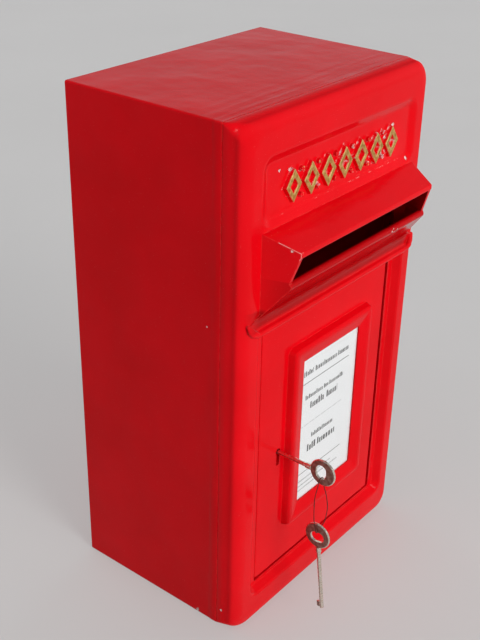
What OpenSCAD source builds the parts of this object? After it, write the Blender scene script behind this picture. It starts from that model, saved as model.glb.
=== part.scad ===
// Letter box: cast front on a sheet steel case, with a hooded slot and a key-locked door.
// X runs to the right of someone facing the front, Y runs into the box and Z runs up.
// Depths are measured from the front border, and seat() moves the origin to the middle of the base.

/* [Case] */
// Width of the case
case_w = 306; // [290:1:330]
// Height of the case
case_h = 570; // [560:1:600]
// Depth from the front border to the back
case_d = 224; // [190:1:280]
// Thickness of the sheet steel
sheet_t = 1.5; // [1:0.1:2]
// Rounding of the folded edges
fold_r = 2; // [1:0.1:2.5]
// Width of the return flange behind the casting
flange_w = 20; // [18:0.5:22]
// How far the hemmed front edge of the sheet swells
hem_rise = 0.4; // [0.2:0.1:0.9]
// Width of the hemmed front edge
hem_w = 11; // [8:0.5:14]
// Depth of the back panel's flange
back_flange_w = 12; // [8:1:16]
// Spacing of the wall holes across
wall_span_x = 200; // [160:1:220]
// Spacing of the wall holes upwards
wall_span_z = 370; // [300:1:400]
// Diameter of the wall holes
wall_hole_d = 8; // [6:0.5:10]

/* [Front casting] */
// Depth of the casting from border to seam
cast_d = 29; // [27:0.5:32]
// Thickness of its side walls
cast_wall = 6; // [5:0.5:7]
// Rounding of its front edge
edge_r = 12; // [9:0.5:13]
// Corner radius seen from the front
corner_r = 20; // [16:1:26]
// Width of the border with its rounded edge
border_w = 23; // [21:0.5:25]
// Depth of the sign recess
sign_depth = 3.8; // [2.5:0.1:5]
// Width of the slope round the sign recess
sign_slope = 8.5; // [6:0.5:10]
// Border above the sign recess
sign_border = 32; // [28:1:36]
// Thickness of the plate behind the sign recess
sign_plate_t = 6.2; // [5:0.1:8]

/* [Raised work] */
// Number of lozenges in the sign recess
lozenge_count = 7; // [5:1:7]
// Spacing of the lozenges
lozenge_pitch = 28; // [27:0.5:30]
// Height of a lozenge
lozenge_h = 35; // [28:0.5:37]
// Width of a lozenge
lozenge_w = 26; // [20:0.5:27]
// How far the row sits below the middle of the recess
work_drop = 2.5; // [0:0.1:4]
// How far the lozenges stand out of the recess floor
relief_h = 4.6; // [3:0.1:6]
// Diameter of the pellets between them
pellet_d = 5; // [4:0.5:6]

/* [Hood and slot] */
// Distance from the top of the case down to the hood
hood_drop = 103; // [100:1:110]
// How far the hood stands out of the border
hood_out = 34.5; // [30:0.5:40]
// How far the hood's top plate falls towards its lip
hood_fall = 14; // [10:0.5:18]
// Thickness of the hood's top plate
hood_t = 5.5; // [4.5:0.1:7]
// How far each cheek comes in towards the lip
cheek_in = 14; // [10:0.5:18]
// Thickness of the cheeks
cheek_t = 4; // [3:0.5:5]
// Height of the slot's mouth
slot_h = 26; // [25:0.5:27.5]
// How far the apron's lip stands out of the border
apron_out = 27; // [26:0.5:28]
// Radius of the apron's lip
apron_lip_r = 4; // [3.5:0.1:4.5]
// Lean of the apron's face
apron_lean = 38.5; // [37:0.5:40]
// Radius of the nosing under the apron
nose_r = 3.2; // [2.8:0.1:3.8]
// How far the nosing stands out of the border
nose_out = 5.2; // [4.8:0.1:6.5]
// Radius in which the nosing's ends curl up
nose_curl = 12; // [9:0.5:14]

/* [Door] */
// Distance from the hood's rear edge down to the door opening
door_drop = 110; // [106:1:114]
// Depth of the door's face behind the border
door_depth = 8; // [6:0.5:10]
// Thickness of the door
door_t = 6; // [5:0.5:7]
// Width of the slope round the door recess
recess_slope = 6.5; // [5:0.5:8]
// Width of the ledge round the door
ledge_w = 9; // [8:0.5:10]
// Height of the border under the door recess
recess_bottom = 34.5; // [32:0.5:38]
// Gap at the lock side of the door
gap_lock = 1.2; // [1:0.1:2]
// Gap at the hinge side of the door
gap_hinge = 4.5; // [4.2:0.1:5]
// Gap under the door
gap_bottom = 3.5; // [3:0.1:5]
// Gap above the door
gap_top = 1.5; // [1:0.1:2.5]

/* [Notice frame] */
// Distance from the opening's jamb to the window at the lock side
window_in_lock = 69; // [66:0.5:74]
// Distance from the opening's jamb to the window at the hinge side
window_in_hinge = 57.5; // [52:0.5:64]
// Height of the window above the door's lower edge
window_rise = 67.5; // [62:0.5:72]
// Distance from the door's upper edge down to the window
window_drop = 59.5; // [54:0.5:64]
// Width of the raised frame beside the window
frame_side = 21; // [18:0.5:23]
// Width of the raised frame above the window
frame_top = 20; // [16:0.5:22]
// Width of the raised frame below the window
frame_bottom = 21; // [18:0.5:24]
// Depth of the frame's dished inner slope
frame_dish = 3.6; // [2:0.1:4]
// Thickness of the clear pane
pane_t = 1.5; // [1:0.1:2]
// Thickness of the notice card
card_t = 0.4; // [0.3:0.05:0.6]
// How far the notice card reaches behind the frame's edge
card_lap = 2.4; // [1.5:0.1:4]

/* [Lock and keys] */
// Distance of the keyhole from the door's free edge
backset = 34.1; // [32:0.5:36]
// Height of the keyhole above the door's lower edge
key_rise = 151.1; // [140:0.5:160]
// Depth of the lock housing behind the door
lock_d = 34; // [32:0.5:38]
// Width of the lock housing
lock_w = 30; // [26:0.5:32]
// Diameter of the turning barrel
barrel_d = 16; // [15:0.5:18]
// Reach of the tongue from the barrel's axis
tongue_reach = 44; // [42:0.5:46]
// Diameter of a key's bow
bow_d = 30.8; // [28:0.1:34]
// Thickness of a key's bow
bow_t = 2.6; // [2:0.1:3.2]
// Diameter of a key's shank
shank_d = 4.4; // [3.6:0.1:4.6]
// Length of a key from the middle of its bow to its tip
key_len = 94.5; // [92:0.5:97]
// Reach of the key's bit from its axis
bit_reach = 5.6; // [5:0.1:6.5]
// Diameter of the wire that ties the keys
wire_d = 0.9; // [0.8:0.1:1.4]
// Drop from the first key to the middle of the spare key's bow
spare_drop = 82; // [76:0.5:90]
// Lean of the spare key
spare_lean = 7; // [0:0.5:9]

/* [Hinge] */
// Diameter of the hinge pins
pin_d = 4.5; // [4:0.1:5]
// Distance of the hinge axis from the door's edge
hinge_in = 6; // [5.5:0.1:6.5]
// Distance of the hinge axis behind the door's face
hinge_back = 7.5; // [7:0.1:7.8]

/* [Hidden] */

// Clearances: running fit, loose seat, overshoot of a cut
run_gap = 0.05;
seat_gap = 0.1;
over = 1;
// Facets of true circles, and steps of an arc drawn with points
$fn = 48;
arc_steps = 6;

// Case and border
half_w = case_w / 2;
crest_x = half_w - border_w;
seam_inset = 0.5;

// Sign recess, hood and nosing heights
hood_z = case_h - hood_drop;
sign_top = case_h - sign_border;
sign_bottom = hood_z + 1;
sign_corner = 15;
hood_slope = hood_fall / hood_out;
lip_under = hood_z - hood_fall - hood_t;
apron_top = lip_under - slot_h;
lip_edge = 1.4;
opening_top = hood_z - door_drop;
nose_z = opening_top + 9;
nose_half = half_w - 7;
hip_rise = 20;
hip_z = nose_z + hip_rise;

// Door opening, door and plate behind it
plate_back = door_depth + door_t;
foot_x = crest_x - recess_slope;
jamb_x = foot_x - ledge_w;
sill_z = recess_bottom + recess_slope + 4;
recess_corner = 14;
opening_corner = 3;
door_x0 = -jamb_x + gap_lock;
door_x1 = jamb_x - gap_hinge;
door_z0 = sill_z + gap_bottom;
door_z1 = opening_top - gap_top;
door_edge = 0.8;

// Window, frame, pane and card
window_x0 = -jamb_x + window_in_lock;
window_x1 = jamb_x - window_in_hinge;
window_z0 = door_z0 + window_rise;
window_z1 = door_z1 - window_drop;
window_lip = 1.5;
frame_flare = 2;
frame_corner = 5.5;
rebate = 7;
pane_y = frame_dish + window_lip;
card_y = pane_y + pane_t + seat_gap;
tray_y = card_y + card_t + seat_gap;
tray_t = 1.2;
tray_flange = 8;
tray_screw_out = 3.4;

// Fixings of the casting: screws in bosses behind the border
boss_r = 5.5;
boss_x = half_w - cast_wall - 4.5;
boss_edge = 45;
boss_rows = 4;
boss_bore = 2.5;
boss_bottom = 15;

// Hinge axis and lugs
hinge_x = door_x1 - hinge_in;
hinge_y = door_depth + hinge_back;
pin_r = pin_d / 2;
lug_r = pin_r + 3.25;
lug_h = 16;
lug_drop = 2.5;
cast_lug_w = 16;
cast_lug_h = 13;
washer_t = 1.2;
press_gap = 0.02;
pin_in_lug = 13;

// Lock, keeper and keys
key_x = door_x0 + backset;
key_z = door_z0 + key_rise;
barrel_r = barrel_d / 2;
lock_back = plate_back + lock_d;
lock_flange_t = 2.5;
lock_flange_h = lock_w + 18;
lock_screw_dx = lock_w / 2 - 5.5;
lock_screw_dz = lock_w / 2 + 4.5;
keyhole_r = 3.75;
keyhole_slot_w = 5;
keyhole_drop = 17.5;
tongue_t = 2.5;
tongue_w = 14;
tongue_y = lock_back + 0.4;
tail_w = 6.2;
nut_af = 8;
nut_t = 4;
stud_r = 2.5;
keeper_t = 2;
keeper_h = 36;
keeper_web_x = -jamb_x - 1;
keeper_w = 13;
bit_t = 2;
bit_w = 6.5;
hole_across = 17;
hole_along = 12.5;
hole_shift = 1.7;
bow_round = 0.9;
key_tip_y = lock_back - 3;
bow_y = key_tip_y - key_len;
wire_r = wire_d / 2;

// Moves a depth measured from the border to the part's frame
module seat() translate([0, -case_d / 2, 0]) children();

// Points of an arc, and of a rectangle with round corners, in a front view
function arc(c, r, a0, a1, n = arc_steps) =
    [for (i = [0 : n]) let (a = a0 + (a1 - a0) * i / n) [c[0] + r * cos(a), c[1] + r * sin(a)]];
function round_rect(x0, x1, z0, z1, r, n = arc_steps) = concat(
    arc([x1 - r, z0 + r], r, -90, 0, n),
    arc([x1 - r, z1 - r], r, 0, 90, n),
    arc([x0 + r, z1 - r], r, 90, 180, n),
    arc([x0 + r, z0 + r], r, 180, 270, n)
);
function lozenge(x, z, a, b) = [[x + a, z], [x, z + b], [x - a, z], [x, z - b]];

// Plate with a front-view outline between two depths
module front_plate(outline, y0, y1)
    translate([0, y1, 0]) rotate([90, 0, 0]) linear_extrude(y1 - y0) polygon(outline);

// Bar with a side-view outline, as wide as given on both sides of the middle
module side_bar(outline, half)
    translate([-half, 0, 0]) rotate([90, 0, 90]) linear_extrude(2 * half) polygon(outline);

// Solid through front-view outlines at rising depths, each given as [depth, outline]
module loft(rings) {
    n = len(rings[0][1]);
    last = len(rings) - 1;
    points = [for (ring = rings) for (p = ring[1]) [p[0], ring[0], p[1]]];
    sides = [for (k = [0 : last - 1]) for (i = [0 : n - 1])
        let (a = k * n + i, b = k * n + (i + 1) % n)
            each [[a, b, a + n], [b, b + n, a + n]]];
    front = [[for (i = [n - 1 : -1 : 0]) i]];
    back = [[for (i = [0 : n - 1]) last * n + i]];
    polyhedron(points = points, faces = concat(front, sides, back));
}

// Round bar or bore along Y between two depths
module along_y(x, z, r, y0, y1)
    translate([x, y1, z]) rotate([90, 0, 0]) cylinder(h = y1 - y0, r = r);

// Screw along Y: head behind the piece it holds, shank into the piece in front
module screw(x, z, head_r, head_h, shank_r, y_tip, y_seat) {
    difference() {
        along_y(x, z, head_r, y_seat, y_seat + head_h);
        translate([x - head_r - over, y_seat + head_h / 2, z - head_r / 8])
            cube([2 * (head_r + over), head_h, head_r / 4]);
    }
    along_y(x, z, shank_r, y_tip, y_seat + head_h / 4);
}

// Height of each row of bosses
function boss_z(i) = boss_edge + i * (case_h - 2 * boss_edge) / (boss_rows - 1);

// Outer form of the casting: folded like the case at the seam, with corners that grow rounder
// towards the front
corner_steps = 10;
function body_corner(y) = fold_r + (corner_r - fold_r) * (1 - y / cast_d);
function body_ring(y, inset) =
    round_rect(-half_w + inset, half_w - inset, inset, case_h - inset,
        max(body_corner(y) - inset / 2, fold_r / 2), corner_steps);
module casting_body() {
    steps = 8;
    rounded = [for (i = [0 : steps]) let (a = 90 * i / steps, y = edge_r * (1 - cos(a)))
        [y, body_ring(y, edge_r * (1 - sin(a)))]];
    straight = [for (part = [0.35, 0.7]) let (y = edge_r + (cast_d - edge_r) * part) [y, body_ring(y, 0)]];
    seam = [
        [cast_d - 2 * seam_inset, body_ring(cast_d - 2 * seam_inset, 0)],
        [cast_d, body_ring(cast_d, seam_inset)]
    ];
    loft(concat(rounded, straight, seam));
}

// Sloping cuts of the sign recess and the door recess, eased at their crests
slope_soft = 0.2;
function sign_ring(part) = let (w = sign_slope * part)
    round_rect(-crest_x + w, crest_x - w, sign_bottom + w, sign_top - w, sign_corner - w, corner_steps);
module sign_recess() {
    soft = slope_soft;
    loft([
        [-over, sign_ring(-soft)], [0, sign_ring(-soft)], [sign_depth * soft / 2, sign_ring(soft / 2)],
        [sign_depth * (1 - soft / 2), sign_ring(1 - soft / 2)], [sign_depth, sign_ring(1 + soft)]
    ]);
}
function recess_ring(part) = let (w = recess_slope * part)
    round_rect(-crest_x + w, crest_x - w, recess_bottom + w, nose_z + recess_corner, recess_corner - w,
        corner_steps);
module door_recess() {
    soft = slope_soft;
    loft([
        [-over, recess_ring(-soft)], [0, recess_ring(-soft)], [door_depth * soft / 2, recess_ring(soft / 2)],
        [door_depth, recess_ring(1)]
    ]);
    front_plate(round_rect(-jamb_x, jamb_x, sill_z, opening_top, opening_corner),
        door_depth - over, plate_back + over);
}

// Side view of hood, cheek edge, apron, cove and nosing, down to the top of the door opening
lip_c = [-(apron_out - apron_lip_r), apron_top - apron_lip_r];
apron_front = lip_c - apron_lip_r * [cos(apron_lean), sin(apron_lean)];
apron_rear = lip_c + apron_lip_r * [cos(apron_lean), sin(apron_lean)];
cove_r = 20;
cove_rise = 9;
cove_z = nose_z + cove_rise;
cove_start_z = cove_z + cove_r * sin(apron_lean);
cove_start = [apron_front[0] + (apron_front[1] - cove_start_z) * tan(apron_lean), cove_start_z];
cove_c = cove_start - cove_r * [cos(apron_lean), sin(apron_lean)];
nose_c = [-(nose_out - nose_r), nose_z];
nose_sink = 2.5;
nose_taper = 0.3;
hood_profile = concat(
    [[plate_back, hood_z + hood_slope], [0, hood_z]],
    arc([-hood_out + lip_edge, hood_z - hood_fall - lip_edge / 2], lip_edge, 100, 180, 3),
    arc([-hood_out + lip_edge, lip_under + lip_edge], lip_edge, 180, 250, 3),
    arc(lip_c, apron_lip_r, 120, 180 + apron_lean, 8),
    arc(cove_c, cove_r, apron_lean, -14),
    arc(nose_c, nose_r, 90, 270),
    [[door_depth, opening_top], [plate_back, opening_top]]
);
function under_hood(y) = lip_under + hood_slope * (y + hood_out);
throat_back = cast_d;
throat_low = apron_rear[1] - (plate_back - apron_rear[0]) / tan(apron_lean);
throat_profile = concat(
    [[-2 * hood_out, lip_under], [-hood_out, lip_under]],
    [[throat_back, under_hood(throat_back)], [throat_back, throat_low], [plate_back, throat_low]],
    arc(lip_c, apron_lip_r, apron_lean, 180),
    [[-2 * hood_out, lip_c[1]]]
);

// Plan of the hood between its cheeks, drawn in by a wall
module hood_plan(wall, z0, z1) {
    rear = crest_x - wall;
    lip = crest_x - cheek_in - wall;
    far = lip - cheek_in;
    translate([0, 0, z0]) linear_extrude(z1 - z0) polygon([
        [-rear, cast_d], [-rear, 0], [-lip, -hood_out], [-far, -2 * hood_out],
        [far, -2 * hood_out], [lip, -hood_out], [rear, 0], [rear, cast_d]
    ]);
}
module hood_and_apron() {
    intersection() {
        side_bar(hood_profile, nose_half + border_w);
        union() {
            hood_plan(0, hip_z - over, hood_z + hood_fall);
            front_plate(concat(
                [[crest_x, hip_z], [-crest_x, hip_z]],
                arc([-nose_half + nose_curl, nose_z + nose_curl], nose_curl, 180, 270),
                [[-foot_x, nose_z - nose_r], [-foot_x, opening_top - over], [foot_x, opening_top - over],
                    [foot_x, nose_z - nose_r]],
                arc([nose_half - nose_curl, nose_z + nose_curl], nose_curl, 270, 360)
            ), -2 * hood_out, plate_back);
        }
    }
    // The nosing's ends curl up beside the apron and sink into the border
    for (side = [0, 1]) mirror([side, 0, 0]) hull() for (a = [0 : 30 : 90])
        translate([-nose_half + nose_curl * (1 - sin(a)), nose_c[0] + nose_sink * (1 - cos(a)),
            nose_z + nose_curl * (1 - cos(a))]) sphere(r = nose_r * (0.95 - nose_taper * sin(a)), $fn = 20);
}
module throat() {
    intersection() {
        side_bar(throat_profile, crest_x);
        hood_plan(cheek_t, opening_top, hood_z + hood_fall);
    }
}

// Row of lozenges with pellets between them, with drafted sides
module raised_work() {
    mid_z = (sign_top + sign_bottom) / 2 - work_drop;
    y_base = sign_depth + 0.5;
    y_top = sign_depth - relief_h;
    draft = 1.5;
    a = lozenge_w / 2;
    b = lozenge_h / 2;
    hole = 0.3;
    hole_top = 0.5;
    for (i = [0 : lozenge_count - 1]) {
        x = (i - (lozenge_count - 1) / 2) * lozenge_pitch;
        difference() {
            loft([[y_top, lozenge(x, mid_z, a - draft, b - draft)], [y_base, lozenge(x, mid_z, a, b)]]);
            loft([
                [y_top - 0.1, lozenge(x, mid_z, a * hole_top, b * hole_top)],
                [sign_depth, lozenge(x, mid_z, a * hole, b * hole)]
            ]);
        }
    }
    for (i = [0 : lozenge_count - 2]) for (side = [-1, 1]) {
        x = (i - (lozenge_count - 2) / 2) * lozenge_pitch;
        along_y(x, mid_z + side * b * 0.72, pellet_d / 2, y_top + 1, y_base);
    }
}

module front_casting() color("firebrick") seat() {
    difference() {
        union() {
            difference() {
                casting_body();
                sign_recess();
                door_recess();
                front_plate(round_rect(-half_w + cast_wall, half_w - cast_wall, cast_wall,
                    case_h - cast_wall, corner_r - cast_wall), plate_back, cast_d + over);
                front_plate(round_rect(-half_w + cast_wall, half_w - cast_wall, hip_z,
                    case_h - cast_wall, corner_r - cast_wall), sign_depth + sign_plate_t, plate_back + over);
            }
            hood_and_apron();
            raised_work();
            for (side = [-1, 1]) for (i = [0 : boss_rows - 1])
                along_y(side * boss_x, boss_z(i), boss_r, plate_back - 5, cast_d);
            for (z0 = [opening_top + gap_top, sill_z - cast_lug_h])
                translate([hinge_x - cast_lug_w / 2, plate_back - 2, z0])
                    cube([cast_lug_w, hinge_y + lug_r - plate_back + 2, cast_lug_h]);
        }
        throat();
        for (side = [-1, 1]) for (i = [0 : boss_rows - 1])
            along_y(side * boss_x, boss_z(i), boss_bore, boss_bottom, cast_d + over);
        translate([hinge_x, hinge_y, opening_top - over])
            cylinder(h = gap_top + cast_lug_h + over, r = pin_r + press_gap);
        translate([hinge_x, hinge_y, sill_z - cast_lug_h - over])
            cylinder(h = cast_lug_h + 2 * over, r = pin_r + press_gap);
        for (z = [key_z - keeper_screw_z, key_z + keeper_screw_z])
            along_y(keeper_screw_x, z, keeper_screw_r + press_gap, keeper_screw_tip, plate_back + over);
    }
}

function shell_ring(out) = round_rect(-half_w - out, half_w + out, 0, case_h, fold_r, 4);
module case_shell() color("firebrick") seat() {
    difference() {
        loft([
            [cast_d, shell_ring(0)],
            [cast_d + hem_w * 0.2, shell_ring(hem_rise * 0.75)],
            [cast_d + hem_w * 0.5, shell_ring(hem_rise)],
            [cast_d + hem_w * 0.8, shell_ring(hem_rise * 0.75)],
            [cast_d + hem_w, shell_ring(0)],
            [case_d, shell_ring(0)]
        ]);
        translate([-half_w + sheet_t, cast_d + sheet_t, sheet_t])
            cube([case_w - 2 * sheet_t, case_d, case_h - 2 * sheet_t]);
        translate([-half_w + flange_w, cast_d - over, flange_w])
            cube([case_w - 2 * flange_w, 2 * over + sheet_t, case_h - 2 * flange_w]);
        for (side = [-1, 1]) for (i = [0 : boss_rows - 1])
            along_y(side * boss_x, boss_z(i), boss_bore + 0.25, cast_d - over, cast_d + 2 * over + sheet_t);
    }
}

module back_panel() color("firebrick") seat() {
    out_x = half_w - sheet_t - seat_gap;
    z0 = sheet_t + seat_gap;
    h = case_h - 2 * z0;
    difference() {
        translate([-out_x, case_d - back_flange_w, z0]) cube([2 * out_x, back_flange_w, h]);
        translate([-out_x + sheet_t, case_d - back_flange_w - over, z0 + sheet_t])
            cube([2 * (out_x - sheet_t), back_flange_w + over - sheet_t, h - 2 * sheet_t]);
        for (x = [-wall_span_x / 2, wall_span_x / 2]) for (z = [-wall_span_z / 2, wall_span_z / 2])
            along_y(x, case_h / 2 + z, wall_hole_d / 2, case_d - 2 * sheet_t, case_d + over);
    }
}

module front_fixing_screws() color("silver") seat() {
    for (side = [-1, 1]) for (i = [0 : boss_rows - 1])
        screw(side * boss_x, boss_z(i), 4.6, 3.2, boss_bore - run_gap, boss_bottom + 2,
            cast_d + sheet_t + 0.02);
}

// Screws of the tray, the lock and the keeper
small_screw_r = 1.5;
small_head_r = 2.9;
small_head_h = 2;
small_tip = plate_back - 3.6;
keeper_screw_r = small_screw_r;
keeper_screw_x = -jamb_x - keeper_w / 2 - 2.5;
keeper_screw_z = keeper_h / 2 - 6;
keeper_screw_tip = small_tip;
tray_x0 = window_x0 - rebate + 2;
tray_x1 = window_x1 + rebate - 2;
tray_screw_xs = [tray_x0 - tray_screw_out - tray_t, tray_x1 + tray_screw_out + tray_t];
tray_z0 = window_z0 - rebate + 2;
tray_z1 = window_z1 + rebate - 2;
tray_screw_zs = [tray_z0 + 14, tray_z1 - 14];

// Section of the notice frame: [depth, distance in from its outline], [depth, distance out from the window]
frame_outer = [[0, 3.6], [0.4, 1.9], [1.4, 0.6], [3, 0], [door_depth + 0.5, -frame_flare]];
frame_inner = [[-over, frame_side * 0.68], [0, frame_side * 0.68], [0.5, frame_side * 0.55],
    [frame_dish - 0.4, 1.6], [frame_dish, 0]];

module door() color("red") seat() {
    fx0 = window_x0 - frame_side;
    fx1 = window_x1 + frame_side;
    fz0 = window_z0 - frame_bottom;
    fz1 = window_z1 + frame_top;
    r = frame_corner;
    difference() {
        union() {
            loft([
                [door_depth, round_rect(door_x0 + door_edge, door_x1 - door_edge, door_z0 + door_edge,
                    door_z1 - door_edge, opening_corner - door_edge)],
                [door_depth + door_edge, round_rect(door_x0, door_x1, door_z0, door_z1, opening_corner)],
                [plate_back, round_rect(door_x0, door_x1, door_z0, door_z1, opening_corner)]
            ]);
            loft([for (ring = frame_outer) [ring[0],
                round_rect(fx0 + ring[1], fx1 - ring[1], fz0 + ring[1], fz1 - ring[1], r - ring[1])]]);
            translate([hinge_x, hinge_y, door_z1 - lug_h]) cylinder(h = lug_h, r = lug_r);
            translate([hinge_x, hinge_y, door_z0 - lug_drop]) cylinder(h = lug_h, r = lug_r);
        }
        loft([for (ring = frame_inner) [ring[0], round_rect(window_x0 - ring[1], window_x1 + ring[1],
            window_z0 - ring[1], window_z1 + ring[1], 1 + ring[1] / 4)]]);
        front_plate(round_rect(window_x0, window_x1, window_z0, window_z1, 1), -over, plate_back + over);
        front_plate(round_rect(window_x0 - rebate, window_x1 + rebate, window_z0 - rebate,
            window_z1 + rebate, 2), pane_y, plate_back + over);
        along_y(key_x, key_z, keyhole_r, door_depth - over, plate_back + over);
        translate([key_x - keyhole_slot_w / 2, door_depth - over, key_z - keyhole_drop])
            cube([keyhole_slot_w, door_t + 2 * over, keyhole_drop]);
        translate([hinge_x, hinge_y, door_z1 - pin_in_lug - over])
            cylinder(h = pin_in_lug + 2 * over, r = pin_r + run_gap);
        translate([hinge_x, hinge_y, door_z0 - lug_drop - over])
            cylinder(h = pin_in_lug + 2 * over, r = pin_r + run_gap);
        for (x = tray_screw_xs) for (z = tray_screw_zs)
            along_y(x, z, small_screw_r + press_gap, small_tip, plate_back + over);
        for (dx = [-1, 1]) for (dz = [-1, 1])
            along_y(key_x + dx * lock_screw_dx, key_z + dz * lock_screw_dz, small_screw_r + press_gap,
                small_tip, plate_back + over);
    }
}

module hinge_pin_upper() color("silver") seat()
    translate([hinge_x, hinge_y, door_z1 - pin_in_lug])
        cylinder(h = pin_in_lug + 2 * gap_top + cast_lug_h - seat_gap, r = pin_r);

module hinge_pin_lower() color("silver") seat()
    translate([hinge_x, hinge_y, sill_z - cast_lug_h])
        cylinder(h = cast_lug_h + gap_bottom - lug_drop + pin_in_lug, r = pin_r);

module hinge_washer() color("goldenrod") seat() {
    z0 = sill_z + 0.02;
    difference() {
        translate([hinge_x, hinge_y, z0]) cylinder(h = gap_bottom - lug_drop - 0.04, r = lug_r - 0.3);
        translate([hinge_x, hinge_y, z0 - over]) cylinder(h = gap_bottom + 2 * over, r = pin_r + run_gap);
    }
}

module window_pane() color("lightcyan") seat() {
    in = rebate - 0.4;
    front_plate(round_rect(window_x0 - in, window_x1 + in, window_z0 - in, window_z1 + in, 2),
        pane_y + 0.02, pane_y + pane_t);
}

module notice_card() color("white") seat() {
    front_plate(round_rect(window_x0 - card_lap, window_x1 + card_lap, window_z0 - card_lap,
        window_z1 + card_lap, 1.5), card_y, card_y + card_t);
}

// Pressed tray: raised face behind the card, walls back to the door, and a flange for its screws
module card_backing_plate() color("dimgray") seat() {
    difference() {
        union() {
            front_plate(round_rect(tray_x0, tray_x1, tray_z0, tray_z1, 2), tray_y, plate_back + tray_t);
            front_plate(round_rect(tray_x0 - tray_flange, tray_x1 + tray_flange, tray_z0 - tray_flange,
                tray_z1 + tray_flange, 4), plate_back + 0.02, plate_back + tray_t);
        }
        front_plate(round_rect(tray_x0 + tray_t, tray_x1 - tray_t, tray_z0 + tray_t, tray_z1 - tray_t, 1),
            tray_y + tray_t, plate_back + tray_t + over);
        for (x = tray_screw_xs) for (z = tray_screw_zs)
            along_y(x, z, small_screw_r + 0.2, plate_back - over, plate_back + tray_t + over);
    }
}

module backing_plate_screws() color("silver") seat() {
    for (x = tray_screw_xs) for (z = tray_screw_zs)
        screw(x, z, small_head_r, small_head_h, small_screw_r, small_tip + 0.4, plate_back + tray_t + 0.02);
}

module lock_body() color("silver") seat() {
    half = lock_w / 2;
    tall = lock_flange_h / 2;
    difference() {
        union() {
            front_plate(round_rect(key_x - half, key_x + half, key_z - tall, key_z + tall, 3),
                plate_back + 0.02, plate_back + lock_flange_t);
            front_plate(round_rect(key_x - half, key_x + half, key_z - half, key_z + half, 3),
                plate_back + lock_flange_t - 0.5, lock_back);
        }
        along_y(key_x, key_z, barrel_r + run_gap, plate_back - over, lock_back + over);
        for (dx = [-1, 1]) for (dz = [-1, 1])
            along_y(key_x + dx * lock_screw_dx, key_z + dz * lock_screw_dz, small_screw_r + 0.2,
                plate_back - over, plate_back + lock_flange_t + over);
    }
}

module lock_barrel() color("goldenrod") seat() {
    difference() {
        union() {
            along_y(key_x, key_z, barrel_r, plate_back + 0.3, lock_back + 0.2);
            translate([key_x - tail_w / 2, lock_back, key_z - tail_w / 2])
                cube([tail_w, tongue_t + 0.5, tail_w]);
            along_y(key_x, key_z, stud_r, lock_back, tongue_y + tongue_t + nut_t + 1.5);
        }
        along_y(key_x, key_z, shank_d / 2 + seat_gap, plate_back - over, key_tip_y + seat_gap);
        translate([key_x - bit_t / 2 - seat_gap, plate_back - over, key_z - bit_reach - seat_gap])
            cube([bit_t + 2 * seat_gap, key_tip_y + seat_gap - plate_back + over, bit_reach]);
    }
}

module lock_tongue() color("silver") seat() {
    half = tongue_w / 2;
    hole = tail_w / 2 + seat_gap;
    difference() {
        front_plate(concat(
            arc([key_x, key_z], half, 0, 180, 16),
            arc([key_x, key_z - tongue_reach + 4], 4, 180, 270, 4) - [for (i = [0 : 4]) [half - 4, 0]],
            arc([key_x, key_z - tongue_reach + 4], 4, 270, 360, 4) + [for (i = [0 : 4]) [half - 4, 0]]
        ), tongue_y, tongue_y + tongue_t);
        translate([key_x - hole, tongue_y - over, key_z - hole])
            cube([2 * hole, tongue_t + 2 * over, 2 * hole]);
    }
}

module tongue_nut() color("silver") seat() {
    y0 = tongue_y + tongue_t + seat_gap;
    difference() {
        translate([key_x, y0 + nut_t, key_z]) rotate([90, 30, 0])
            cylinder(h = nut_t, r = nut_af / 2 / cos(30), $fn = 6);
        along_y(key_x, key_z, stud_r + press_gap, y0 - over, y0 + nut_t + over);
    }
}

module lock_screws() color("silver") seat() {
    for (dx = [-1, 1]) for (dz = [-1, 1])
        screw(key_x + dx * lock_screw_dx, key_z + dz * lock_screw_dz, small_head_r, small_head_h,
            small_screw_r, small_tip + 0.4, plate_back + lock_flange_t + 0.02);
}

// Channel behind the door frame that the tongue turns behind
module lock_keeper() color("silver") seat() {
    x1 = keeper_web_x;
    x0 = x1 - keeper_w;
    y1 = lock_back - 0.1;
    difference() {
        translate([0, 0, key_z - keeper_h / 2]) linear_extrude(keeper_h) polygon([
            [x0, plate_back + 0.02], [x1, plate_back + 0.02], [x1, y1], [x0, y1], [x0, y1 - keeper_t],
            [x1 - keeper_t, y1 - keeper_t], [x1 - keeper_t, plate_back + keeper_t], [x0, plate_back + keeper_t]
        ]);
        for (z = [key_z - keeper_screw_z, key_z + keeper_screw_z])
            along_y(keeper_screw_x, z, keeper_screw_r + 0.2, plate_back - over, plate_back + keeper_t + over);
    }
}

module keeper_screws() color("silver") seat() {
    for (z = [key_z - keeper_screw_z, key_z + keeper_screw_z])
        screw(keeper_screw_x, z, small_head_r, small_head_h, keeper_screw_r, keeper_screw_tip + 0.4,
            plate_back + keeper_t + 0.02);
}

// Key with its bow's middle at the origin, shank along +Y and bit towards -Z
module key() {
    bow_r = bow_d / 2;
    difference() {
        rotate([0, 90, 0]) rotate_extrude() polygon([
            [0, -bow_t / 2], [bow_r - bow_round, -bow_t / 2], [bow_r, -bow_t / 2 + bow_round],
            [bow_r, bow_t / 2 - bow_round], [bow_r - bow_round, bow_t / 2], [0, bow_t / 2]
        ]);
        bow_hole();
    }
    collar_y = bow_r - 0.6;
    collar_h = 6;
    translate([0, collar_y + collar_h, 0]) rotate([90, 0, 0]) cylinder(h = collar_h, r = shank_d / 2 + 0.7);
    translate([0, key_len, 0]) rotate([90, 0, 0]) cylinder(h = key_len - collar_y, r = shank_d / 2);
    translate([-bit_t / 2, key_len - bit_w - 0.5, -bit_reach]) cube([bit_t, bit_w, bit_reach]);
}

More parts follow.
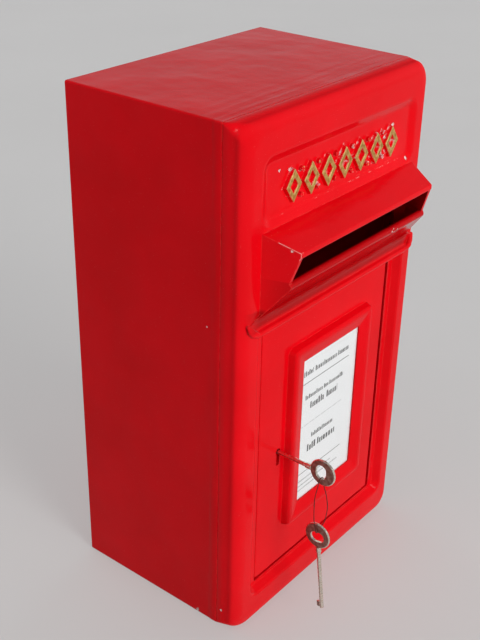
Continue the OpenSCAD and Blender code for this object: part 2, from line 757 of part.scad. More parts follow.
// Hole of a bow: two round ends and the straight between them
module bow_hole() {
    end_r = hole_along / 2;
    reach = hole_across / 2 - end_r;
    translate([-bow_t, hole_shift, 0]) {
        for (side = [-1, 1])
            translate([0, 0, side * reach]) rotate([0, 90, 0]) cylinder(h = 2 * bow_t, r = end_r);
        translate([0, -end_r, -reach]) cube([2 * bow_t, hole_along, 2 * reach]);
    }
}

spare_z = key_z - spare_drop;
spare_y = bow_y + hole_shift - (hole_along / 2 - hole_shift) * sin(spare_lean);
module door_key() color("silver") seat() translate([key_x, bow_y, key_z]) key();
module spare_key() color("silver") seat()
    translate([key_x, spare_y, spare_z]) rotate([-90 - spare_lean, 0, 0]) rotate([0, 180, 0]) key();

// Wire loop through both bows: it swings round the bar under the first bow's hole, and the
// spare key swings on its lowest stretch. Points are [across, forward, up] from those two places.
wire_gap = 0.35;
bar_h = bow_d / 2 - hole_across / 2;
bar_z = key_z - hole_across / 2 - bar_h / 2;
wire_arc_r = norm([bar_h / 2, bow_t / 2]) + wire_r + wire_gap;
wire_low = spare_z + (hole_along / 2 - hole_shift) - wire_r - wire_gap;
wire_y = bow_y + hole_shift;
loop_half = bow_d * 0.146;
loop_bow = bow_d * 0.247;
loop_h = bar_z - wire_low;
function loop_point(across, forward, part) =
    [loop_half * across, loop_bow * forward, wire_low + loop_h * part];
wire_points = concat(
    [for (a = [-20 : 20 : 200]) [wire_arc_r * cos(a), 0, bar_z + wire_arc_r * sin(a)]],
    [
        loop_point(-1, -0.13, 0.88), loop_point(-0.96, -0.42, 0.7), loop_point(-0.89, -0.47, 0.5),
        loop_point(-0.8, -0.39, 0.24), loop_point(-0.71, -0.13, 0.09), loop_point(-0.64, 0, 0.024),
        loop_point(-0.31, 0, 0), loop_point(0.31, 0, 0),
        loop_point(0.64, 0, 0.024), loop_point(0.71, 0.26, 0.105), loop_point(0.8, 0.74, 0.24),
        loop_point(0.91, 1, 0.5), loop_point(0.98, 0.66, 0.73), loop_point(1, 0.16, 0.88)
    ]
);
wire_per_span = 3;
function spline(p0, p1, p2, p3, t) = 0.5 * (2 * p1 + (p2 - p0) * t
    + (2 * p0 - 5 * p1 + 4 * p2 - p3) * t * t + (3 * p1 - p0 - 3 * p2 + p3) * t * t * t);
function wire_path() = let (n = len(wire_points)) [for (i = [0 : n - 1]) for (k = [0 : wire_per_span - 1])
    spline(wire_points[(i + n - 1) % n], wire_points[i], wire_points[(i + 1) % n],
        wire_points[(i + 2) % n], k / wire_per_span)];

module key_wire() color("silver") seat() {
    path = wire_path();
    n = len(path);
    sides = 8;
    points = [for (i = [0 : n - 1])
        let (
            d = path[(i + 1) % n] - path[(i + n - 1) % n],
            t = [d[0], -d[1], d[2]] / norm(d),
            side = cross(t, [0, 1, 0]) / norm(cross(t, [0, 1, 0])),
            up = cross(t, side),
            c = [key_x + path[i][0], wire_y - path[i][1], path[i][2]]
        )
        for (k = [0 : sides - 1])
            c + wire_r * (cos(360 * k / sides) * side + sin(360 * k / sides) * up)];
    faces = [for (i = [0 : n - 1]) for (k = [0 : sides - 1])
        let (a = i * sides, b = ((i + 1) % n) * sides, m = (k + 1) % sides)
            each [[a + k, b + k, a + m], [a + m, b + k, b + m]]];
    polyhedron(points = points, faces = faces);
}

front_casting();
case_shell();
back_panel();
front_fixing_screws();
door();
hinge_pin_upper();
hinge_pin_lower();
hinge_washer();
window_pane();
notice_card();
card_backing_plate();
backing_plate_screws();
lock_body();
lock_barrel();
lock_tongue();
tongue_nut();
lock_screws();
lock_keeper();
keeper_screws();
door_key();
spare_key();
key_wire();
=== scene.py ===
import math
import random

import bmesh
import bpy
from mathutils import Matrix, Vector


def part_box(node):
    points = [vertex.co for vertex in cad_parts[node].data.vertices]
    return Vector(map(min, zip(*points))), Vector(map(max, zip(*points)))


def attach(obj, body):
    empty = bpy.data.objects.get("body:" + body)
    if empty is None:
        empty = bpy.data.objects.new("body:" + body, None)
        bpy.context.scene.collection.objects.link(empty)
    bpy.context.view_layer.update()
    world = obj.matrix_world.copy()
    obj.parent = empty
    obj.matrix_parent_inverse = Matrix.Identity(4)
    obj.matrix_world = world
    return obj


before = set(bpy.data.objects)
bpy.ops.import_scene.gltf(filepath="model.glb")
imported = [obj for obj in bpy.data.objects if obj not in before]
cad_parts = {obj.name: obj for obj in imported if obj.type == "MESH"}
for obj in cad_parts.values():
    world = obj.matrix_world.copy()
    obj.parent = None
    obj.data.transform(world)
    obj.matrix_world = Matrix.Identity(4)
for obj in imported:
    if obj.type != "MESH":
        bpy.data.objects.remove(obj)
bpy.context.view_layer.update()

# Camera: stands at the front left of the box and looks down on it, as the photograph does.
# Its place, tilt and lens come from the box's own edges, lined up with the photograph's.
picture_height = 640
lens_in_pixels = 1068.37
film_width = 36
camera_place = Vector((-0.8357, -0.6443, 0.8499))
camera_turn = math.radians(51.54)
camera_dip = math.radians(28.36)
camera_roll = math.radians(1.15)
look = Vector((math.sin(camera_turn) * math.cos(camera_dip), math.cos(camera_turn) * math.cos(camera_dip),
               -math.sin(camera_dip)))
level = Vector((math.cos(camera_turn), -math.sin(camera_turn), 0))
upward = level.cross(look)
side_axis = math.cos(camera_roll) * level + math.sin(camera_roll) * upward
top_axis = math.cos(camera_roll) * upward - math.sin(camera_roll) * level
camera_data = bpy.data.cameras.new("camera")
camera_data.sensor_width = film_width
camera_data.lens = lens_in_pixels / picture_height * film_width
camera_data.shift_x = 0.0069
camera_data.shift_y = 0.0097
camera = bpy.data.objects.new("camera", camera_data)
camera.matrix_world = Matrix((
    (side_axis.x, top_axis.x, -look.x, camera_place.x),
    (side_axis.y, top_axis.y, -look.y, camera_place.y),
    (side_axis.z, top_axis.z, -look.z, camera_place.z),
    (0, 0, 0, 1),
))
bpy.context.scene.collection.objects.link(camera)
bpy.context.scene.camera = camera
bpy.context.scene.view_settings.view_transform = "Standard"


# Studio: a pale painted floor that runs out far past the box, a pale room round it, and soft light from
# four sides, most of it low from the front. The floor looks pale but throws little light back up.
def new_finish(name):
    """An empty material with one Principled shader, its tree and that shader."""
    finish = bpy.data.materials.new(name)
    finish.use_nodes = True
    tree = finish.node_tree
    tree.nodes.clear()
    sheet = tree.nodes.new("ShaderNodeOutputMaterial")
    shader = tree.nodes.new("ShaderNodeBsdfPrincipled")
    tree.links.new(shader.outputs["BSDF"], sheet.inputs["Surface"])
    return finish, tree, shader


def put(tree, kind, inputs=None, **settings):
    """One node with its settings, and its inputs as numbers or as other nodes' sockets."""
    node = tree.nodes.new("ShaderNode" + kind)
    for key, value in settings.items():
        setattr(node, key, value)
    for key, value in (inputs or {}).items():
        if isinstance(value, bpy.types.NodeSocket):
            tree.links.new(value, node.inputs[key])
        else:
            node.inputs[key].default_value = value
    return node


def sum_of(tree, first, second):
    return put(tree, "Math", {0: first, 1: second}, operation="ADD").outputs[0]


def times(tree, first, second):
    return put(tree, "Math", {0: first, 1: second}, operation="MULTIPLY").outputs[0]


def least(tree, first, second):
    return put(tree, "Math", {0: first, 1: second}, operation="MINIMUM").outputs[0]


def vectors(tree, operation, first, second):
    return put(tree, "VectorMath", {0: first, 1: second}, operation=operation).outputs[0]


def place_on_piece(tree):
    return put(tree, "TexCoord").outputs["Object"]


def mottle(tree, size, detail=3.0, roughness=0.5, stretch=(1, 1, 1)):
    """Noise from 0 to 1 whose blotches are about size metres across on the piece."""
    place = vectors(tree, "MULTIPLY", place_on_piece(tree), stretch)
    noise = put(tree, "TexNoise", {"Vector": place, "Scale": 1 / size, "Detail": detail,
                                   "Roughness": roughness})
    return noise.outputs["Fac"]


def span(tree, value, low, high, to_low=0.0, to_high=1.0):
    """Stretches the part of a value between low and high to a new span, held at its ends."""
    return put(tree, "MapRange", {"Value": value, "From Min": low, "From Max": high, "To Min": to_low,
                                  "To Max": to_high}).outputs["Result"]


def blend_colour(tree, share, first, second):
    """Mix of two colours."""
    mix = put(tree, "Mix", data_type="RGBA")
    for socket, value in ((mix.inputs[0], share), (mix.inputs[6], first), (mix.inputs[7], second)):
        if isinstance(value, bpy.types.NodeSocket):
            tree.links.new(value, socket)
        else:
            socket.default_value = value if isinstance(value, (int, float)) else (*value, 1)
    return mix.outputs[2]


def seen_rays(tree):
    """1 for what the eye meets, straight or in gloss and glass, and 0 for light on its way to the box."""
    rays = put(tree, "LightPath").outputs
    seen = sum_of(tree, rays["Is Camera Ray"], rays["Is Glossy Ray"])
    return least(tree, sum_of(tree, seen, rays["Is Transmission Ray"]), 1.0)


floor_radius = 9
floor_greys = ((0.36, 0.355, 0.35), (0.4, 0.395, 0.39))
floor_throws_back = (0.16, 0.155, 0.15)
floor_glow = 0.28
floor_mesh = bpy.data.meshes.new("floor")
floor_form = bmesh.new()
bmesh.ops.create_circle(floor_form, cap_ends=True, segments=96, radius=floor_radius)
floor_form.to_mesh(floor_mesh)
floor_form.free()
floor = bpy.data.objects.new("floor", floor_mesh)
floor_finish, tree, shader = new_finish("floor_paint")
seen = seen_rays(tree)
pale = blend_colour(tree, mottle(tree, size=0.4), *floor_greys)
tree.links.new(blend_colour(tree, seen, floor_throws_back, pale), shader.inputs["Base Color"])
shader.inputs["Emission Color"].default_value = (1, 0.99, 0.98, 1)
tree.links.new(times(tree, seen, floor_glow), shader.inputs["Emission Strength"])
shader.inputs["Roughness"].default_value = 0.6
shader.inputs["Specular IOR Level"].default_value = 0.2
floor_mesh.materials.append(floor_finish)
bpy.context.scene.collection.objects.link(floor)

room_light = 0.38
room_foot_glow = 0.32
room = bpy.data.worlds.new("room")
room.use_nodes = True
tree = room.node_tree
walls = tree.nodes["Background"]
walls.inputs["Color"].default_value = (0.95, 0.96, 1, 1)
height = put(tree, "SeparateXYZ", {0: put(tree, "TexCoord").outputs["Generated"]}).outputs["Z"]
wall_foot = times(tree, span(tree, height, 0.1, 0.4, room_foot_glow, 0), seen_rays(tree))
tree.links.new(sum_of(tree, wall_foot, room_light), walls.inputs["Strength"])
bpy.context.scene.world = room


def soft_light(name, turn, rise, strength, colour=(1, 1, 1), spread=32):
    """Even soft light from one side: turn is from the front towards the right, rise is above the floor.
    It is kept out of the gloss, where it would burn a white sheet into the top."""
    light_data = bpy.data.lights.new(name, "SUN")
    light_data.angle = math.radians(spread)
    light_data.energy = strength
    light_data.color = colour
    light = bpy.data.objects.new(name, light_data)
    turn, rise = math.radians(turn), math.radians(rise)
    towards = Vector((math.sin(turn) * math.cos(rise), -math.cos(turn) * math.cos(rise), math.sin(rise)))
    light.rotation_euler = towards.to_track_quat("Z", "Y").to_euler()
    light.visible_glossy = False
    bpy.context.scene.collection.objects.link(light)


soft_light("front_light", turn=-7, rise=12, strength=2.15, colour=(1, 0.98, 0.96))
soft_light("left_light", turn=-100, rise=10, strength=0.4)
soft_light("right_light", turn=95, rise=10, strength=0.6)
soft_light("back_light", turn=170, rise=10, strength=0.7)

# one small lamp that the gloss does show, for the glints along the rounded edges
glint_data = bpy.data.lights.new("glint_lamp", "AREA")
glint_data.shape = "RECTANGLE"
glint_data.size = 0.9
glint_data.size_y = 0.6
glint_data.energy = 12
glint = bpy.data.objects.new("glint_lamp", glint_data)
glint.location = (-0.6, -2.4, 1.5)
box_middle = Vector((0, 0, 0.3))
glint.rotation_euler = (glint.location - box_middle).to_track_quat("Z", "Y").to_euler()
bpy.context.scene.collection.objects.link(glint)


# Front casting: one iron casting, ground, filled and sprayed in red gloss enamel. It is screwed to the
# case's flange from inside, its back has one rough coat, and its raised work is gilded by hand.
def depths_in(tree, place, low, high):
    """How deep a place lies in a box of the piece, by x, y and z, and below 0 outside it."""
    nearer = vectors(tree, "MINIMUM", vectors(tree, "SUBTRACT", place, low),
                     vectors(tree, "SUBTRACT", high, place))
    return put(tree, "SeparateXYZ", {0: nearer}).outputs


def inside(tree, place, low, high):
    """1 inside a box of the piece and 0 outside it."""
    depths = depths_in(tree, place, low, high)
    depth = least(tree, least(tree, depths[0], depths[1]), depths[2])
    return put(tree, "Math", {0: depth, 1: 0.0}, operation="GREATER_THAN").outputs[0]


def turned_by(tree, rounded, flat):
    """How far a rounded normal has turned from the flat one: 1 not at all, and less beside an edge."""
    return put(tree, "VectorMath", {0: rounded, 1: flat}, operation="DOT_PRODUCT").outputs["Value"]


deep_red = (0.7, 0.0012, 0.005)
bright_red = (0.8, 0.0018, 0.0075)
# painted shade: the dark red laid in the cove above the nosing and on the apron
painted_shade_red = (0.24, 0, 0)
# painted highlight: the lighter red laid along the edges
edge_highlight_red = (0.9, 0.1, 0.08)
speck_red = (0.8, 0.2, 0.17)
chip_rim_red = (0.32, 0.006, 0.006)
pale_edge_pink = (0.85, 0.5, 0.47)
filler_tones = ((0.62, 0.26, 0.24), (0.86, 0.76, 0.73))
inside_coat_tones = ((0.5, 0.003, 0.006), (0.62, 0.005, 0.008))
gold_tones = ((0.4, 0.2, 0.035), (0.72, 0.47, 0.14))
gold_edge = (0.9, 0.68, 0.33)


def sound_coat(tree, place, edge, shaded_hollows):
    """The enamel itself: mottled, with painted shade in the given hollows, a painted highlight along the
    edges and a few specks.
    """
    red = blend_colour(tree, span(tree, mottle(tree, size=0.09, detail=4), 0.3, 0.7), deep_red, bright_red)
    for low, high, fade, shade_share in shaded_hollows:
        # painted shade: the red is darkened inside each box, more the deeper a place lies in it
        depths = depths_in(tree, place, low, high)
        depth = least(tree, least(tree, times(tree, depths[0], 0.2), depths[1]), depths[2])
        red = blend_colour(tree, span(tree, depth, 0, fade, 0, shade_share), red, painted_shade_red)
    # painted highlight: a patchy lighter red along the edges
    highlit_edges = times(tree, edge, span(tree, mottle(tree, size=0.007, detail=4), 0.4, 0.6))
    red = blend_colour(tree, times(tree, highlit_edges, 0.35), red, edge_highlight_red)
    specks = times(tree, span(tree, mottle(tree, size=0.0012, detail=2), 0.7, 0.76), 0.35)
    return blend_colour(tree, specks, red, speck_red)


def gild(tree, shader, place, edge, leaf_box, colour, rough):
    """Gold leaf on what stands in the leaf's box, ragged where the brush left it."""
    low, high = leaf_box
    ragged = span(tree, mottle(tree, size=0.003, detail=5), 0.3, 0.7, -0.0005, 0.0005)
    shaken = put(tree, "CombineXYZ", {0: 0.0, 1: ragged, 2: ragged}).outputs[0]
    leaf = inside(tree, vectors(tree, "ADD", place, shaken), low, high)
    gold = blend_colour(tree, span(tree, mottle(tree, size=0.004, detail=4), 0.35, 0.65), *gold_tones)
    gold = blend_colour(tree, times(tree, edge, 0.6), gold, gold_edge)
    tree.links.new(times(tree, leaf, 0.6), shader.inputs["Metallic"])
    return blend_colour(tree, leaf, colour, gold), sum_of(tree, rough, times(tree, leaf, 0.2))


def knock_off(tree, place, chips, colour):
    """Small chips round the given points, each with a dark rim: the new colour, and where filler shows."""
    nearest = None
    for x, y, z, reach in chips:
        gap = put(tree, "VectorMath", {0: place, 1: (x, y, z)}, operation="DISTANCE").outputs["Value"]
        gap = times(tree, gap, 1 / reach)
        nearest = gap if nearest is None else least(tree, nearest, gap)
    tear = span(tree, mottle(tree, size=0.0022, detail=5, roughness=0.7), 0.3, 0.7, -0.75, 0.75)
    torn = sum_of(tree, nearest, tear)
    colour = blend_colour(tree, span(tree, torn, 1.3, 0.95, 0, 0.7), colour, chip_rim_red)
    return colour, span(tree, torn, 0.9, 0.8, 0, 1)


def flecks_at_foot(tree, place, flat, fleck_box):
    """Where the filler has let go in flecks at the foot of the raised work, more of them to the right."""
    foot = put(tree, "Bevel", {"Radius": 0.003}, samples=6).outputs["Normal"]
    foot = span(tree, turned_by(tree, foot, flat), 0.999, 0.96, 0, 1)
    along = put(tree, "SeparateXYZ", {0: place}).outputs["X"]
    patch = sum_of(tree, mottle(tree, size=0.009, detail=5, roughness=0.7),
                   span(tree, along, -0.1, 0.09, -0.05, 0.03))
    return times(tree, times(tree, inside(tree, place, *fleck_box), foot), span(tree, patch, 0.53, 0.6))


def roll_over(tree, place, rounded, inner_box, seam_y, round_y, most):
    """Turns the band beside the seam towards the front, before the edge's own rounding begins."""
    depth = put(tree, "SeparateXYZ", {0: place}).outputs["Y"]
    share = span(tree, depth, seam_y, round_y, 0, 1)
    outer = span(tree, inside(tree, place, *inner_box), 0, 1, -1, 0)
    lean = times(tree, times(tree, times(tree, share, share), most), outer)
    rolled = vectors(tree, "ADD", rounded, put(tree, "CombineXYZ", {0: 0.0, 1: lean, 2: 0.0}).outputs[0])
    return put(tree, "VectorMath", {0: rolled}, operation="NORMALIZE").outputs[0]


def enamel(name, inside_box, edge_width, sag, gloss, chips=(), leaf_box=None, fleck_box=None, ridges=None,
           shoulder=None, pale_edge_box=None, shaded_hollows=()):
    """Red gloss enamel with orange peel and slow waves. inside_box had one rough coat, leaf_box is gilded,
    fleck_box has lost paint at feet, the pale edge box is paler pink on its edges, the shaded hollows get
    painted shade, and ridges run beside the seam."""
    finish, tree, shader = new_finish(name)
    place = place_on_piece(tree)
    rounded = put(tree, "Bevel", {"Radius": edge_width}, samples=6).outputs["Normal"]
    flat = put(tree, "NewGeometry").outputs["True Normal"]
    edge = span(tree, turned_by(tree, rounded, flat), 0.99, 0.9, 0, 1)
    colour = sound_coat(tree, place, edge, shaded_hollows)
    rough = span(tree, mottle(tree, size=0.03), 0.3, 0.7, 0.09, 0.17)
    if leaf_box:
        colour, rough = gild(tree, shader, place, edge, leaf_box, colour, rough)
    bare = None
    if chips:
        colour, bare = knock_off(tree, place, chips, colour)
    if fleck_box:
        flecks = flecks_at_foot(tree, place, flat, fleck_box)
        bare = put(tree, "Math", {0: bare, 1: flecks}, operation="MAXIMUM").outputs[0]
    if pale_edge_box:
        # paler pink along the edges inside the box
        pale_share = times(tree, inside(tree, place, *pale_edge_box), edge)
        pale_share = times(tree, pale_share, span(tree, mottle(tree, size=0.004, detail=4), 0.3, 0.6, 0.3, 0.9))
        colour = blend_colour(tree, pale_share, colour, pale_edge_pink)
    if bare is not None:
        blotches = span(tree, mottle(tree, size=0.0016, detail=4), 0.35, 0.65)
        filler = blend_colour(tree, blotches, *filler_tones)
        colour = blend_colour(tree, bare, colour, filler)
        rough = sum_of(tree, rough, times(tree, bare, 0.45))
    within = inside(tree, place, *inside_box)
    inside_coat = blend_colour(tree, mottle(tree, size=0.03, detail=5), *inside_coat_tones)
    colour = blend_colour(tree, within, colour, inside_coat)
    rough = sum_of(tree, rough, times(tree, within, 0.35))
    tree.links.new(colour, shader.inputs["Base Color"])
    tree.links.new(rough, shader.inputs["Roughness"])
    shader.inputs["Specular IOR Level"].default_value = gloss
    if shoulder:
        rounded = roll_over(tree, place, rounded, *shoulder)
    peel = put(tree, "Bump", {"Height": mottle(tree, size=0.0022, detail=2), "Strength": 0.06,
                              "Distance": 0.0006, "Normal": rounded})
    last = put(tree, "Bump", {"Height": mottle(tree, size=0.045, detail=2), "Strength": sag,
                              "Distance": 0.004, "Normal": peel.outputs[0]})
    if ridges:
        # filler ridges that were not rubbed down, strongest beside the seam
        near, far = ridges
        depth = put(tree, "SeparateXYZ", {0: place}).outputs["Y"]
        runs = mottle(tree, size=0.012, detail=2, roughness=0.4, stretch=(0.12, 1.3, 0.12))
        height = times(tree, span(tree, runs, 0.3, 0.7), span(tree, depth, far, near, 0, 1))
        last = put(tree, "Bump", {"Height": height, "Strength": 0.3, "Distance": 0.0012,
                                  "Normal": last.outputs[0]})
    tree.links.new(last.outputs[0], shader.inputs["Normal"])
    return finish


def dress(node, finish):
    """Gives a solid its finish in every slot."""
    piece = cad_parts[node]
    piece.data.materials.clear()
    piece.data.materials.append(finish)


seam_y = -0.083
casting_hollow = ((-0.147, -0.099, 0.006), (0.147, 0, 0.564))
gilded_work = ((-0.1, -0.12, 0.481), (0.1, -0.1121, 0.521))
recess_floor = ((-0.106, -0.1122, 0.475), (0.106, -0.1065, 0.527))
hood_left_edge = ((-0.124, -0.148, 0.446), (-0.112, -0.1125, 0.47))
casting_within_band = ((-0.1405, -0.2, 0.0125), (0.1405, 0, 0.5575))
# painted shade: the cove above the nosing and the apron under the slot are darkened, each box with its fade
# and share
cove_shade_box = ((-0.15, -0.1185, 0.3695), (0.145, -0.09, 0.392), 0.004, 0.7)
apron_shade_box = ((-0.13, -0.1466, 0.385), (0.13, -0.1, 0.4235), 0.003, 0.5)
casting_chips = [
    (-0.1193, -0.1382, 0.4545, 0.0012),  # hood, left end of its lip
    (0.0560, -0.1390, 0.4170, 0.0010), (0.0610, -0.1385, 0.4150, 0.0014),  # slot, right end of its lower lip
    (0.0660, -0.1390, 0.4170, 0.0010), (0.0590, -0.1385, 0.4195, 0.0010),
    (0.1195, -0.1105, 0.4735, 0.0020), (0.1215, -0.1110, 0.4790, 0.0010),  # recess, lower right corner
    (-0.1400, -0.1075, 0.5540, 0.0012),  # border, upper left corner
    (-0.1023, -0.1085, 0.5190, 0.0016), (-0.0870, -0.1085, 0.5160, 0.0018),  # recess, round the raised work
    (-0.0790, -0.1085, 0.4930, 0.0016), (0.0700, -0.1090, 0.4900, 0.0030),
    (0.0750, -0.1085, 0.5060, 0.0022), (0.0900, -0.1085, 0.5160, 0.0026),
    (-0.1530, -0.0895, 0.0225, 0.0014),  # foot, left side
]
dress("front_casting", enamel(
    "casting_enamel", casting_hollow, edge_width=0.0014, sag=0.3, gloss=0.09, chips=casting_chips,
    leaf_box=gilded_work, fleck_box=recess_floor, pale_edge_box=hood_left_edge,
    shoulder=(casting_within_band, seam_y, -0.1, 1.5), shaded_hollows=[cove_shade_box, apron_shade_box],
))

# Case: folded and welded sheet steel, filled at its welds and sprayed in the same red.
# Its front edge is hemmed behind the casting, and the filler beside that seam was never rubbed flat.
case_hollow = ((-0.1519, -0.0826, 0.0012), (0.1519, 0.1109, 0.5688))
ridges_end_y = -0.03
case_chips = [(-0.1530, -0.0556, 0.0034, 0.0022), (-0.1530, -0.0672, 0.3661, 0.0008)]
case_red = enamel("case_enamel", case_hollow, edge_width=0.0011, sag=0.26, gloss=0.065, chips=case_chips,
                  ridges=(seam_y, ridges_end_y))
dress("case_shell", case_red)
dress("back_panel", case_red)

# Door: a second iron casting, filed to its opening and sprayed with the same enamel.
# It turns on two pins at the right and carries the notice frame, the lock and the card.
door_back = ((-0.12, -0.0985, 0), (0.12, 0, 0.4))
dress("door", enamel("door_enamel", door_back, edge_width=0.0009, sag=0.2, gloss=0.06))


# Fixings: zinc-plated steel screws, hinge pins, tongue and keeper, turned or pressed, with a brass barrel
# and washer. They hold the casting, the tray and the lock from inside, where only an open door shows them.
def metal(name, dark, light, low, high, grain, shine=1.0, stretch=(1, 1, 1), edge_width=0.0003, faces=None):
    """Bare or plated metal: colour and roughness, from low to high, vary in grain of the given size.
    faces is a painted reflection: a dark colour laid on the broad sides, in place of the red door they
    mirror."""
    finish, tree, shader = new_finish(name)
    streaks = span(tree, mottle(tree, grain, detail=4, roughness=0.6, stretch=stretch), 0.3, 0.7)
    colour = blend_colour(tree, streaks, dark, light)
    rough = span(tree, streaks, 0, 1, low, high)
    rounded = put(tree, "Bevel", {"Radius": edge_width}, samples=4).outputs["Normal"]
    if faces:
        # painted reflection: the broad sides are darkened towards the faces colour, as if they mirrored the
        # red door
        sideways = put(tree, "SeparateXYZ", {0: put(tree, "TexCoord").outputs["Normal"]}).outputs["X"]
        sideways = put(tree, "Math", {0: sideways}, operation="ABSOLUTE").outputs[0]
        flat = put(tree, "NewGeometry").outputs["True Normal"]
        off_edge = span(tree, turned_by(tree, rounded, flat), 0.9, 0.995, 0.25, 1)
        broad = times(tree, span(tree, sideways, 0.97, 0.995, 0, 1), off_edge)
        reflection_share = times(tree, broad, span(tree, mottle(tree, size=0.004, detail=4), 0.25, 0.6, 0.75, 1))
        colour = blend_colour(tree, reflection_share, colour, faces)
        rough = sum_of(tree, rough, times(tree, broad, 0.08))
    tree.links.new(colour, shader.inputs["Base Color"])
    shader.inputs["Metallic"].default_value = shine
    tree.links.new(rough, shader.inputs["Roughness"])
    bump = put(tree, "Bump", {"Height": mottle(tree, grain / 2, stretch=stretch), "Strength": 0.08,
                              "Distance": 0.0003, "Normal": rounded})
    tree.links.new(bump.outputs[0], shader.inputs["Normal"])
    return finish


zinc = metal("zinc_plating", dark=(0.42, 0.42, 0.4), light=(0.62, 0.62, 0.58), low=0.28, high=0.45,
             grain=0.004)
for node in ("front_fixing_screws", "hinge_pin_upper", "hinge_pin_lower", "backing_plate_screws",
             "lock_tongue", "tongue_nut", "lock_screws", "lock_keeper", "keeper_screws"):
    dress(node, zinc)
dress("card_backing_plate", metal("pressed_tray", dark=(0.2, 0.2, 0.2), light=(0.32, 0.32, 0.31), low=0.4,
                                  high=0.55, grain=0.012, shine=0.9, stretch=(1, 1, 6)))
dress("lock_body", metal("lock_housing", dark=(0.4, 0.4, 0.39), light=(0.56, 0.56, 0.54), low=0.3,
                         high=0.45, grain=0.003, stretch=(6, 1, 1)))
brass = metal("turned_brass", dark=(0.5, 0.33, 0.11), light=(0.7, 0.5, 0.2), low=0.25, high=0.4,
              grain=0.003)
dress("lock_barrel", brass)
dress("hinge_washer", brass)

# Pane: clear sheet plastic, cut to the rebate behind the notice frame and held there by the tray.
# It lies against the card, so light reaches the card through it.
pane_finish, tree, shader = new_finish("clear_pane")
shader.inputs["Base Color"].default_value = (0.97, 0.98, 0.98, 1)
shader.inputs["Transmission Weight"].default_value = 1
shader.inputs["IOR"].default_value = 1.46
smears = span(tree, mottle(tree, size=0.02, detail=5), 0.4, 0.8, 0.02, 0.1)
tree.links.new(smears, shader.inputs["Roughness"])
through = put(tree, "BsdfTransparent", {"Color": (0.96, 0.97, 0.97, 1)})
surface = shader.outputs[0]
for ray in ("Is Diffuse Ray", "Is Shadow Ray"):
    passing = put(tree, "MixShader", {0: put(tree, "LightPath").outputs[ray], 1: surface,
                                      2: through.outputs[0]})
    surface = passing.outputs[0]
tree.links.new(surface, tree.nodes["Material Output"].inputs["Surface"])
dress("window_pane", pane_finish)

# Notice card: white board, printed with rules and rows of plain marks set like words.
# It lies behind the pane in the notice frame, and the print is a film of ink on its face.
board_tones = ((0.93, 0.93, 0.94), (0.96, 0.96, 0.97))
card_finish, tree, shader = new_finish("white_board")
board = blend_colour(tree, mottle(tree, size=0.05, detail=4), *board_tones)
tree.links.new(board, shader.inputs["Base Color"])
shader.inputs["Roughness"].default_value = 0.8
shader.inputs["Specular IOR Level"].default_value = 0.2
board_grain = put(tree, "Bump", {"Height": mottle(tree, size=0.0008), "Strength": 0.15, "Distance": 0.0002})
tree.links.new(board_grain.outputs[0], shader.inputs["Normal"])
dress("notice_card", card_finish)

ink_film = 0.00003
card_low, card_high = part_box("notice_card")
ink_y = card_low[1] - ink_film
ink_form = bmesh.new()
ink_tone = ink_form.loops.layers.float_color.new("ink")


def ink_mark(x0, x1, z0, z1, tone):
    """One flat block of ink on the card, as dark as tone says."""
    corners = [(x0, z0), (x1, z0), (x1, z1), (x0, z1)]
    face = ink_form.faces.new([ink_form.verts.new((x, ink_y, z)) for x, z in corners])
    for loop in face.loops:
        loop[ink_tone] = (tone, tone, tone, 1)


def ink_row(words, z, height, tone, seed):
    """A row of plain upright blocks in the place of print, in runs as long as words."""
    rng = random.Random(seed)
    for x0, x1 in words:
        x = x0
        while x < x1:
            width = height * rng.uniform(0.24, 0.4)
            rise = height * (1 if x == x0 or rng.random() < 0.25 else 0.72)
            ink_mark(x, min(x + width, x1), z, z + rise, tone)
            x += width + height * rng.uniform(0.13, 0.22)


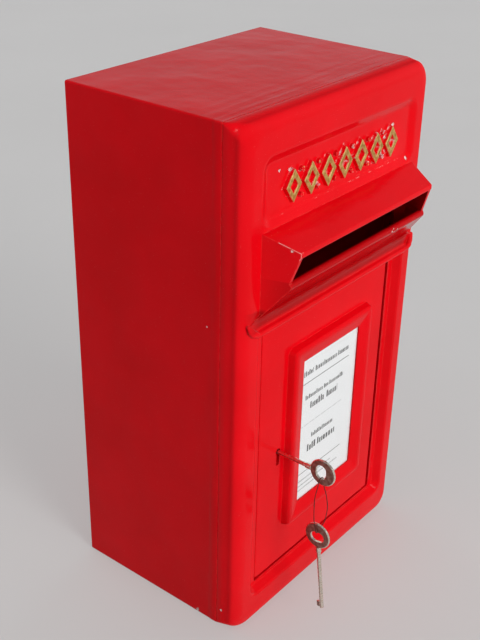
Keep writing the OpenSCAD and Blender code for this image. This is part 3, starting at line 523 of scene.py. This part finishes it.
margin_x = -0.0475
ink_row([(-0.0470, -0.0245), (-0.0207, 0.0190), (0.0214, 0.0417)], z=0.2735, height=0.0062, tone=0.012,
        seed=3)
ink_row([(-0.0365, -0.0047), (-0.0024, 0.0055), (0.0078, 0.0339)], z=0.2433, height=0.0055, tone=0.02,
        seed=5)
ink_row([(-0.0268, -0.0005), (0.0037, 0.0241)], z=0.2290, height=0.0083, tone=0.006, seed=8)
ink_row([(-0.0217, 0.0194)], z=0.1897, height=0.0055, tone=0.02, seed=11)
ink_row([(-0.0283, -0.0124), (-0.0091, 0.0242)], z=0.1735, height=0.0088, tone=0.006, seed=13)
for z, x1, seed in ((0.1380, 0.0200, 21), (0.1318, 0.0340, 22), (0.1262, -0.0060, 23)):
    ink_row([(margin_x, x1)], z, height=0.0018, tone=0.25, seed=seed)
ink_mark(margin_x, 0.0432, 0.2640, 0.2649, tone=0.02)
ink_mark(margin_x, 0.0383, 0.1481, 0.1489, tone=0.03)
dash = 0.0018
dashed_length = 0.0835
for step in range(int(dashed_length / dash)):
    if step % 6 != 5:
        ink_mark(margin_x + dash * step, margin_x + dash * (step + 0.6), 0.2104, 0.2113, tone=0.3)
ink_mesh = bpy.data.meshes.new("card_print")
ink_form.to_mesh(ink_mesh)
ink_form.free()
ink = bpy.data.objects.new("card_print", ink_mesh)
bpy.context.scene.collection.objects.link(ink)
ink_finish, tree, shader = new_finish("printing_ink")
tone = put(tree, "VertexColor", layer_name="ink").outputs["Color"]
thin_ink = span(tree, mottle(tree, size=0.0012), 0.4, 0.75, 0, 0.25)
tree.links.new(blend_colour(tree, thin_ink, tone, (0.3, 0.3, 0.32)), shader.inputs["Base Color"])
shader.inputs["Roughness"].default_value = 0.7
shader.inputs["Specular IOR Level"].default_value = 0.2
ink_mesh.materials.append(ink_finish)
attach(ink, "door")

# Keys: two nickel-plated steel keys, stamped bows on round shanks, with a painted dark reflection on the
# bows' broad faces. One sits in the lock, and the other hangs from it.
# the bows' broad faces carry a painted reflection, dark reddish brown
nickel = metal("nickel_plating", dark=(0.66, 0.58, 0.48), light=(0.86, 0.8, 0.7), low=0.2, high=0.34,
               grain=0.003, edge_width=0.0007, faces=(0.2, 0.09, 0.07))
dress("door_key", nickel)
dress("spare_key", nickel)

# Wire: thin bare iron wire, bent into a closed loop through both bows.
# It ties the spare key to the first.
dress("key_wire", metal("iron_wire", dark=(0.05, 0.014, 0.012), light=(0.12, 0.05, 0.04), low=0.35,
                        high=0.5, grain=0.004, shine=0.7))
